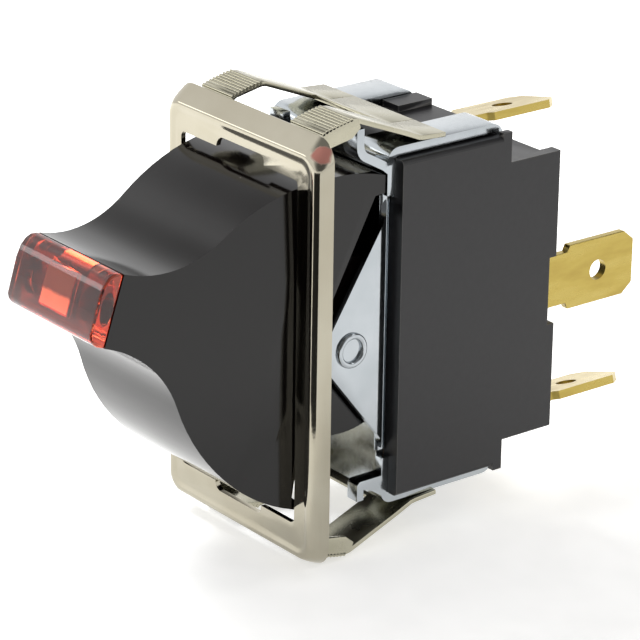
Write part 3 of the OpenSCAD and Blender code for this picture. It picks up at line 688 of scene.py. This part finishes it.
clipLook = {"sheet": 0.45, "proud": 0.02, "front": 0.3, "halfWidth": 8.8, "windowEnd": 10.0, "windowHalf": 4.3,
            "armsTop": 17.1, "armsGap": 0.02, "edgeRound": 0.07,
            # height under the box's top, then the rising front as (y, below the crest)
            "crestUnder": 0.115, "rise": ((0.3, 1.75), (0.4, 1.1), (0.62, 0.76), (1.0, 0.55)),
            "crestY": 4.0, "crestRadius": 1.8, "crestFromDeg": 104, "crestTurnDeg": 36, "crestSteps": 12,
            # the straight slope down to the arms, then the foot as (y from its middle, above the arms)
            "restY": 11.6, "slope": 0.422, "slopeFoot": 0.27, "foot": ((-0.5, 0.47), (0.0, 0.25), (0.5, 0.17)),
            "tailY": 14.5,
            # the side flange's lower corners, from the crest and from the front
            "flange": 1.9, "flangeBack": (0.8, 0.55), "flangeFoot": (-0.15, 0.1), "flangeToe": (0.9, 2.3),
            "flangeHeel": 2.2, "flangeReach": 3.5, "flangeSunk": 0.01,
            "teeth": 9, "toothRadius": 0.17, "toothSunk": 0.12, "toothOverhang": 0.02, "toothStart": 0.1,
            "toothMiddle": (2.2, 0.33)}


def clipPath():
    # outer face of the clip as (y, z) in millimetres, from the bezel back to its tail
    look = clipLook
    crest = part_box("upper_clip")[1].z / mm - look["crestUnder"]
    rest = look["armsTop"] + look["sheet"] + look["armsGap"]
    points = [(y, crest - under) for y, under in look["rise"]]
    for step in range(look["crestSteps"] + 1):
        turn = math.radians(look["crestFromDeg"] - look["crestTurnDeg"] * step / look["crestSteps"])
        points.append((look["crestY"] + look["crestRadius"] * math.cos(turn),
                       crest - look["crestRadius"] + look["crestRadius"] * math.sin(turn)))
    points.append((look["windowEnd"],
                   rest + look["slopeFoot"] + look["slope"] * (look["restY"] - look["windowEnd"])))
    points += [(look["restY"] + y, rest + above) for y, above in look["foot"]]
    points.append((look["tailY"], rest))
    return points


def clipSheet(bm, path, x0, x1, sheet, flip):
    # closed bent strip between two x, following the path
    rows = []
    for i, (y, z) in enumerate(path):
        before, after = path[max(i - 1, 0)], path[min(i + 1, len(path) - 1)]
        along = Vector((after[0] - before[0], after[1] - before[1])).normalized()
        inner = (y + along.y * sheet, z - along.x * sheet)
        rows.append([bm.verts.new((x * mm, a * mm, flip * b * mm)) for x, (a, b) in
                     ((x0, (y, z)), (x1, (y, z)), (x1, inner), (x0, inner))])
    skin(bm, rows, False)
    bm.faces.new(rows[0])
    bm.faces.new(rows[-1])


def clipFlange(bm, path, x0, x1, flip):
    # side flange: deep at the bezel, a sheet thick from the crest back
    look = clipLook
    top = [p for p in path if p[0] < look["crestY"] + look["flangeReach"]]
    crest = next(p for p in path if p[0] > look["crestY"])
    outline = [(y, z - look["flangeSunk"]) for y, z in top]
    outline += [(top[-1][0], top[-1][1] - look["sheet"]),
                (crest[0] + look["flangeBack"][0], crest[1] - look["sheet"] - look["flangeBack"][1]),
                (crest[0] + look["flangeFoot"][0], crest[1] - look["flange"] + look["flangeFoot"][1]),
                (look["front"] + look["flangeToe"][0], crest[1] - look["flangeToe"][1]),
                (look["front"], crest[1] - look["flangeHeel"])]
    left = [bm.verts.new((x0 * mm, y * mm, flip * z * mm)) for y, z in outline]
    right = [bm.verts.new((x1 * mm, y * mm, flip * z * mm)) for y, z in outline]
    bm.faces.new(left)
    bm.faces.new(right[::-1])
    skin(bm, [left, right], False)


def toothTree():
    # rounded teeth set out along a shallow arc
    tree = bpy.data.node_groups.new("clipTeeth", "GeometryNodeTree")
    face = tree.interface
    for name, kind, value in (("Start", "NodeSocketVector", (0, 0, 0)), ("Middle", "NodeSocketVector", (0, 0, 0.0005)),
                              ("End", "NodeSocketVector", (0, 0, 0.001)), ("Teeth", "NodeSocketInt", 9),
                              ("Tooth Radius", "NodeSocketFloat", 0.0001), ("Tooth Length", "NodeSocketFloat", 0.004)):
        face.new_socket(name, in_out="INPUT", socket_type=kind).default_value = value
    face.new_socket("Finish", in_out="INPUT", socket_type="NodeSocketMaterial")
    face.new_socket("Geometry", in_out="OUTPUT", socket_type="NodeSocketGeometry")
    given = tree.nodes.new("NodeGroupInput").outputs
    slope = addNode(tree, "GeometryNodeCurveQuadraticBezier", Start=given["Start"], Middle=given["Middle"],
                    End=given["End"])
    row = addNode(tree, "GeometryNodeCurveToPoints", {"mode": "COUNT"}, Curve=slope.outputs[0], Count=given["Teeth"])
    bar = addNode(tree, "GeometryNodeMeshCylinder", {"fill_type": "TRIANGLE_FAN"}, Vertices=20,
                  Radius=given["Tooth Radius"], Depth=given["Tooth Length"])
    placed = addNode(tree, "GeometryNodeInstanceOnPoints", Points=row.outputs["Points"], Instance=bar.outputs["Mesh"],
                     Rotation=(0.0, math.pi / 2, 0.0))
    real = addNode(tree, "GeometryNodeRealizeInstances", Geometry=placed.outputs["Instances"])
    done = addNode(tree, "GeometryNodeSetMaterial", Geometry=real.outputs["Geometry"], Material=given["Finish"])
    out = tree.nodes.new("NodeGroupOutput")
    tree.links.new(done.outputs["Geometry"], out.inputs["Geometry"])
    return tree


def grown(tree, name, **values):
    # a new object whose mesh the tree makes from the named inputs, made plain at once
    obj = bpy.data.objects.new(name, bpy.data.meshes.new(name))
    scene.collection.objects.link(obj)
    modifier = obj.modifiers.new(name, "NODES")
    modifier.node_group = tree
    named = {item.name.replace(" ", ""): item.identifier for item in tree.interface.items_tree
             if item.in_out == "INPUT"}
    for key, value in values.items():
        modifier[named[key]] = value
    return settle(obj)


def makeClip(node, name, flip):
    # sheet with a window, two side flanges and a row of teeth on each finger
    look = clipLook
    path = clipPath()
    bm = bmesh.new()
    for side in (-1, 1):
        low, high = sorted((side * look["windowHalf"], side * look["halfWidth"]))
        clipSheet(bm, path, low, high, look["sheet"], flip)
        low, high = sorted((side * (look["halfWidth"] - look["sheet"]), side * (look["halfWidth"] + look["proud"])))
        clipFlange(bm, path, low, high, flip)
    back = [p for p in path if p[0] >= look["windowEnd"]]
    clipSheet(bm, back, -look["windowHalf"], look["windowHalf"], look["sheet"], flip)
    bmesh.ops.recalc_face_normals(bm, faces=bm.faces)
    roundEdges(bm, outerEdges(bm, 50), look["edgeRound"])
    clip = newPiece(name, bm, looks[node], 35)
    spots = [(y, z - look["toothRadius"] + look["toothSunk"]) for y, z in
             ((path[2][0] + look["toothStart"], path[2][1]),
              (look["toothMiddle"][0], path[3][1] + look["toothMiddle"][1]), path[6])]
    rows = []
    half = (look["halfWidth"] - look["windowHalf"]) / 2
    for side in (-1, 1):
        x = side * (look["windowHalf"] + half)
        start, middle, end = (Vector((x, y, flip * z)) * mm for y, z in spots)
        rows.append(grown(toothRows, name + "Row", Start=start, Middle=middle, End=end, Teeth=look["teeth"],
                          ToothRadius=look["toothRadius"] * mm, ToothLength=2 * (half + look["toothOverhang"]) * mm,
                          Finish=looks[node]))
    bm = bmesh.new()
    bm.from_mesh(clip.data)
    for row in rows:
        bm.from_mesh(row.data)
        bpy.data.objects.remove(row)
    bm.to_mesh(clip.data)
    bm.free()
    clip.data.set_sharp_from_angle(angle=math.radians(40))
    return mount(clip, node)


toothRows = toothTree()
makeClip("upper_clip", "upperClip", 1)
makeClip("lower_clip", "lowerClip", -1)
print("clips made")

stage = {"floorDrop": 0.4 * mm, "floorHalf": 2, "floorGain": 0.8,
         # the floor's own glow, painted brighter towards the front left, painted shade to the back right, and a painted
         # shadow under the switch
         "glowNear": 1.05, "glowFar": 0.55, "glowAcross": (0.93, 0.36, 0.0), "glowEdge": 0.05,
         "glowUnder": 0.8, "underFrom": 0.012, "underTo": 0.036,
         "cardFrom": 0.042, "cardTo": 0.32, "cardTurn": 62, "cardSpread": 24, "cardLift": 0.2 * mm,
         # the room: plain for light, and as it is seen and mirrored
         "room": 0.62, "horizonSeen": 1.25, "overheadSeen": 0.32, "overheadWay": (0.0, 0.3, 0.954),
         "overheadFrom": 0.53, "overheadTo": 0.7,
         "behindCamera": 0.12, "cameraWay": (0.7332, -0.5747, 0.3636), "behindFrom": 0.66, "behindTo": 0.93}

# place, size and power in watts, and whether glossy faces mirror it
lamps = {"keyPanel": ((-0.36, -0.02, 0.40), (0.22, 0.22), 2.4, False),
         "rimPanel": ((0.22, 0.38, 0.46), (0.16, 0.16), 0.2, True),
         "fillPanel": ((0.30, -0.55, 0.30), (0.4, 0.4), 0.3, False),
         "crestPanel": ((-0.51, -0.43, 0.22), (0.26, 0.1), 0.2, True)}

cameraLook = {"lens": 188.9, "sensor": 36.0, "nearest": 0.01, "place": (0.2250, -0.1689, 0.1101),
              "turn": ((0.6129, -0.2947, 0.7332), (0.7900, 0.2134, -0.5747), (0.0129, 0.9314, 0.3636))}


def seenDirectly(tree):
    # camera, glossy and transmission rays: all that shows the background
    path = tree.nodes.new("ShaderNodeLightPath")
    both = addNode(tree, "ShaderNodeMath", {"operation": "MAXIMUM"}, i0=path.outputs["Is Camera Ray"],
                   i1=path.outputs["Is Glossy Ray"])
    return addNode(tree, "ShaderNodeMath", {"operation": "MAXIMUM"}, i0=both.outputs[0],
                   i1=path.outputs["Is Transmission Ray"]).outputs[0]


def flatPiece(name, corners, height):
    bm = bmesh.new()
    for x, y in corners:
        bm.verts.new((x, y, height))
    bm.faces.new(bm.verts)
    mesh = bpy.data.meshes.new(name)
    bm.to_mesh(mesh)
    bm.free()
    obj = bpy.data.objects.new(name, mesh)
    scene.collection.objects.link(obj)
    return obj


def makeFloor():
    # white paper, exposed to white where it is seen; it still takes the shadow, and its glow paints a pool of light,
    # shade and a shadow under the switch
    half = stage["floorHalf"]
    floor = flatPiece("floor", ((-half, -half), (half, -half), (half, half), (-half, half)),
                      cadBox[0][2] - stage["floorDrop"])
    material = bpy.data.materials.new("paperFloor")
    material.use_nodes = True
    tree = material.node_tree
    tree.nodes.clear()
    where = tree.nodes.new("ShaderNodeTexCoord").outputs["Object"]
    pulp = addNode(tree, "ShaderNodeTexNoise", Vector=where, Scale=300.0, Detail=3.0)
    paper = addNode(tree, "ShaderNodeValToRGB", {"stops": ((0.3, "#f2f2f1"), (0.7, "#f6f6f5"))},
                    Fac=pulp.outputs["Fac"]).outputs["Color"]
    plainPaper = addNode(tree, "ShaderNodeBsdfDiffuse", Color=paper)
    dim = addNode(tree, "ShaderNodeVectorMath", {"operation": "SCALE"}, i0=paper, Scale=stage["floorGain"])
    shaded = addNode(tree, "ShaderNodeBsdfDiffuse", Color=dim.outputs[0])
    # painted light and shade: the glow is brightest towards the front left and dims to the back right, where the shade
    # falls
    across = addNode(tree, "ShaderNodeVectorMath", {"operation": "DOT_PRODUCT"}, i0=where, i1=stage["glowAcross"])
    level = addNode(tree, "ShaderNodeMapRange", {"interpolation_type": "SMOOTHSTEP"}, Value=across.outputs["Value"],
                    From_Min=-stage["glowEdge"], From_Max=stage["glowEdge"], To_Min=stage["glowNear"],
                    To_Max=stage["glowFar"])
    # painted shadow: the glow is lowered under the switch
    flat = addNode(tree, "ShaderNodeVectorMath", {"operation": "MULTIPLY"}, i0=where, i1=(1.0, 1.0, 0.0))
    away = addNode(tree, "ShaderNodeVectorMath", {"operation": "LENGTH"}, i0=flat.outputs[0])
    under = addNode(tree, "ShaderNodeMapRange", {"interpolation_type": "SMOOTHSTEP"}, Value=away.outputs["Value"],
                    From_Min=stage["underFrom"], From_Max=stage["underTo"], To_Min=stage["glowUnder"], To_Max=1.0)
    strength = addNode(tree, "ShaderNodeMath", {"operation": "MULTIPLY"}, i0=level.outputs[0], i1=under.outputs[0])
    glow = addNode(tree, "ShaderNodeEmission", Color=paper, Strength=strength.outputs[0])
    seen = addNode(tree, "ShaderNodeAddShader", i0=shaded.outputs[0], i1=glow.outputs[0])
    mix = addNode(tree, "ShaderNodeMixShader", i0=seenDirectly(tree), i1=plainPaper.outputs[0], i2=seen.outputs[0])
    out = tree.nodes.new("ShaderNodeOutputMaterial")
    tree.links.new(mix.outputs[0], out.inputs[0])
    floor.data.materials.append(material)


def makeDarkCard():
    # black card on the floor, out of the picture: the bright rims take a dark line from it
    near, far = stage["cardFrom"], stage["cardTo"]
    corners = []
    for reach, side in ((near, -1), (far, -1), (far, 1), (near, 1)):
        turn = math.radians(stage["cardTurn"] + side * stage["cardSpread"])
        corners.append((reach * math.cos(turn), -reach * math.sin(turn)))
    card = flatPiece("darkCard", corners, cadBox[0][2] - stage["floorDrop"] + stage["cardLift"])
    card.data.materials.append(makePlain("blackCard", "#0c0c0c", "#141414", 800.0, 0.8, 0.9, 0.0))


def makeRoom():
    # even pale room for the light; what is seen or mirrored is white, dimmer overhead and behind the camera
    world = bpy.data.worlds.new("studio")
    scene.world = world
    world.use_nodes = True
    tree = world.node_tree
    tree.nodes.clear()
    way = tree.nodes.new("ShaderNodeTexCoord").outputs["Generated"]
    up = addNode(tree, "ShaderNodeVectorMath", {"operation": "DOT_PRODUCT"}, i0=way, i1=stage["overheadWay"])
    roof = addNode(tree, "ShaderNodeMapRange", {"interpolation_type": "SMOOTHSTEP"}, Value=up.outputs["Value"],
                   From_Min=stage["overheadFrom"], From_Max=stage["overheadTo"], To_Min=stage["horizonSeen"],
                   To_Max=stage["overheadSeen"])
    back = addNode(tree, "ShaderNodeVectorMath", {"operation": "DOT_PRODUCT"}, i0=way, i1=stage["cameraWay"])
    dim = addNode(tree, "ShaderNodeMapRange", {"interpolation_type": "SMOOTHSTEP"}, Value=back.outputs["Value"],
                  From_Min=stage["behindFrom"], From_Max=stage["behindTo"], To_Min=1.0, To_Max=stage["behindCamera"])
    level = addNode(tree, "ShaderNodeMath", {"operation": "MULTIPLY"}, i0=roof.outputs[0], i1=dim.outputs[0])
    shown = addNode(tree, "ShaderNodeBackground", Color=(1, 1, 1, 1), Strength=level.outputs[0])
    room = addNode(tree, "ShaderNodeBackground", Color=hexColour("#fbfafa"), Strength=stage["room"])
    mix = addNode(tree, "ShaderNodeMixShader", i0=seenDirectly(tree), i1=room.outputs[0], i2=shown.outputs[0])
    out = tree.nodes.new("ShaderNodeOutputWorld")
    tree.links.new(mix.outputs[0], out.inputs[0])


def addLamp(name, place, size, power, mirrored):
    # a soft panel turned towards the switch
    data = bpy.data.lights.new(name, "AREA")
    data.shape = "RECTANGLE"
    data.size, data.size_y = size
    data.energy = power
    obj = bpy.data.objects.new(name, data)
    scene.collection.objects.link(obj)
    obj.location = place
    obj.visible_glossy = mirrored
    obj.rotation_euler = (-Vector(place)).to_track_quat("-Z", "Y").to_euler()


def makeCamera():
    data = bpy.data.cameras.new("camera")
    data.sensor_width = cameraLook["sensor"]
    data.lens = cameraLook["lens"]
    data.clip_start = cameraLook["nearest"]
    obj = bpy.data.objects.new("camera", data)
    scene.collection.objects.link(obj)
    obj.location = cameraLook["place"]
    obj.rotation_euler = Matrix(cameraLook["turn"]).to_euler()
    scene.camera = obj


makeFloor()
makeDarkCard()
makeRoom()
for name, values in lamps.items():
    addLamp(name, *values)
makeCamera()
scene.view_settings.view_transform = "Standard"
print("stage, lamps and camera set")
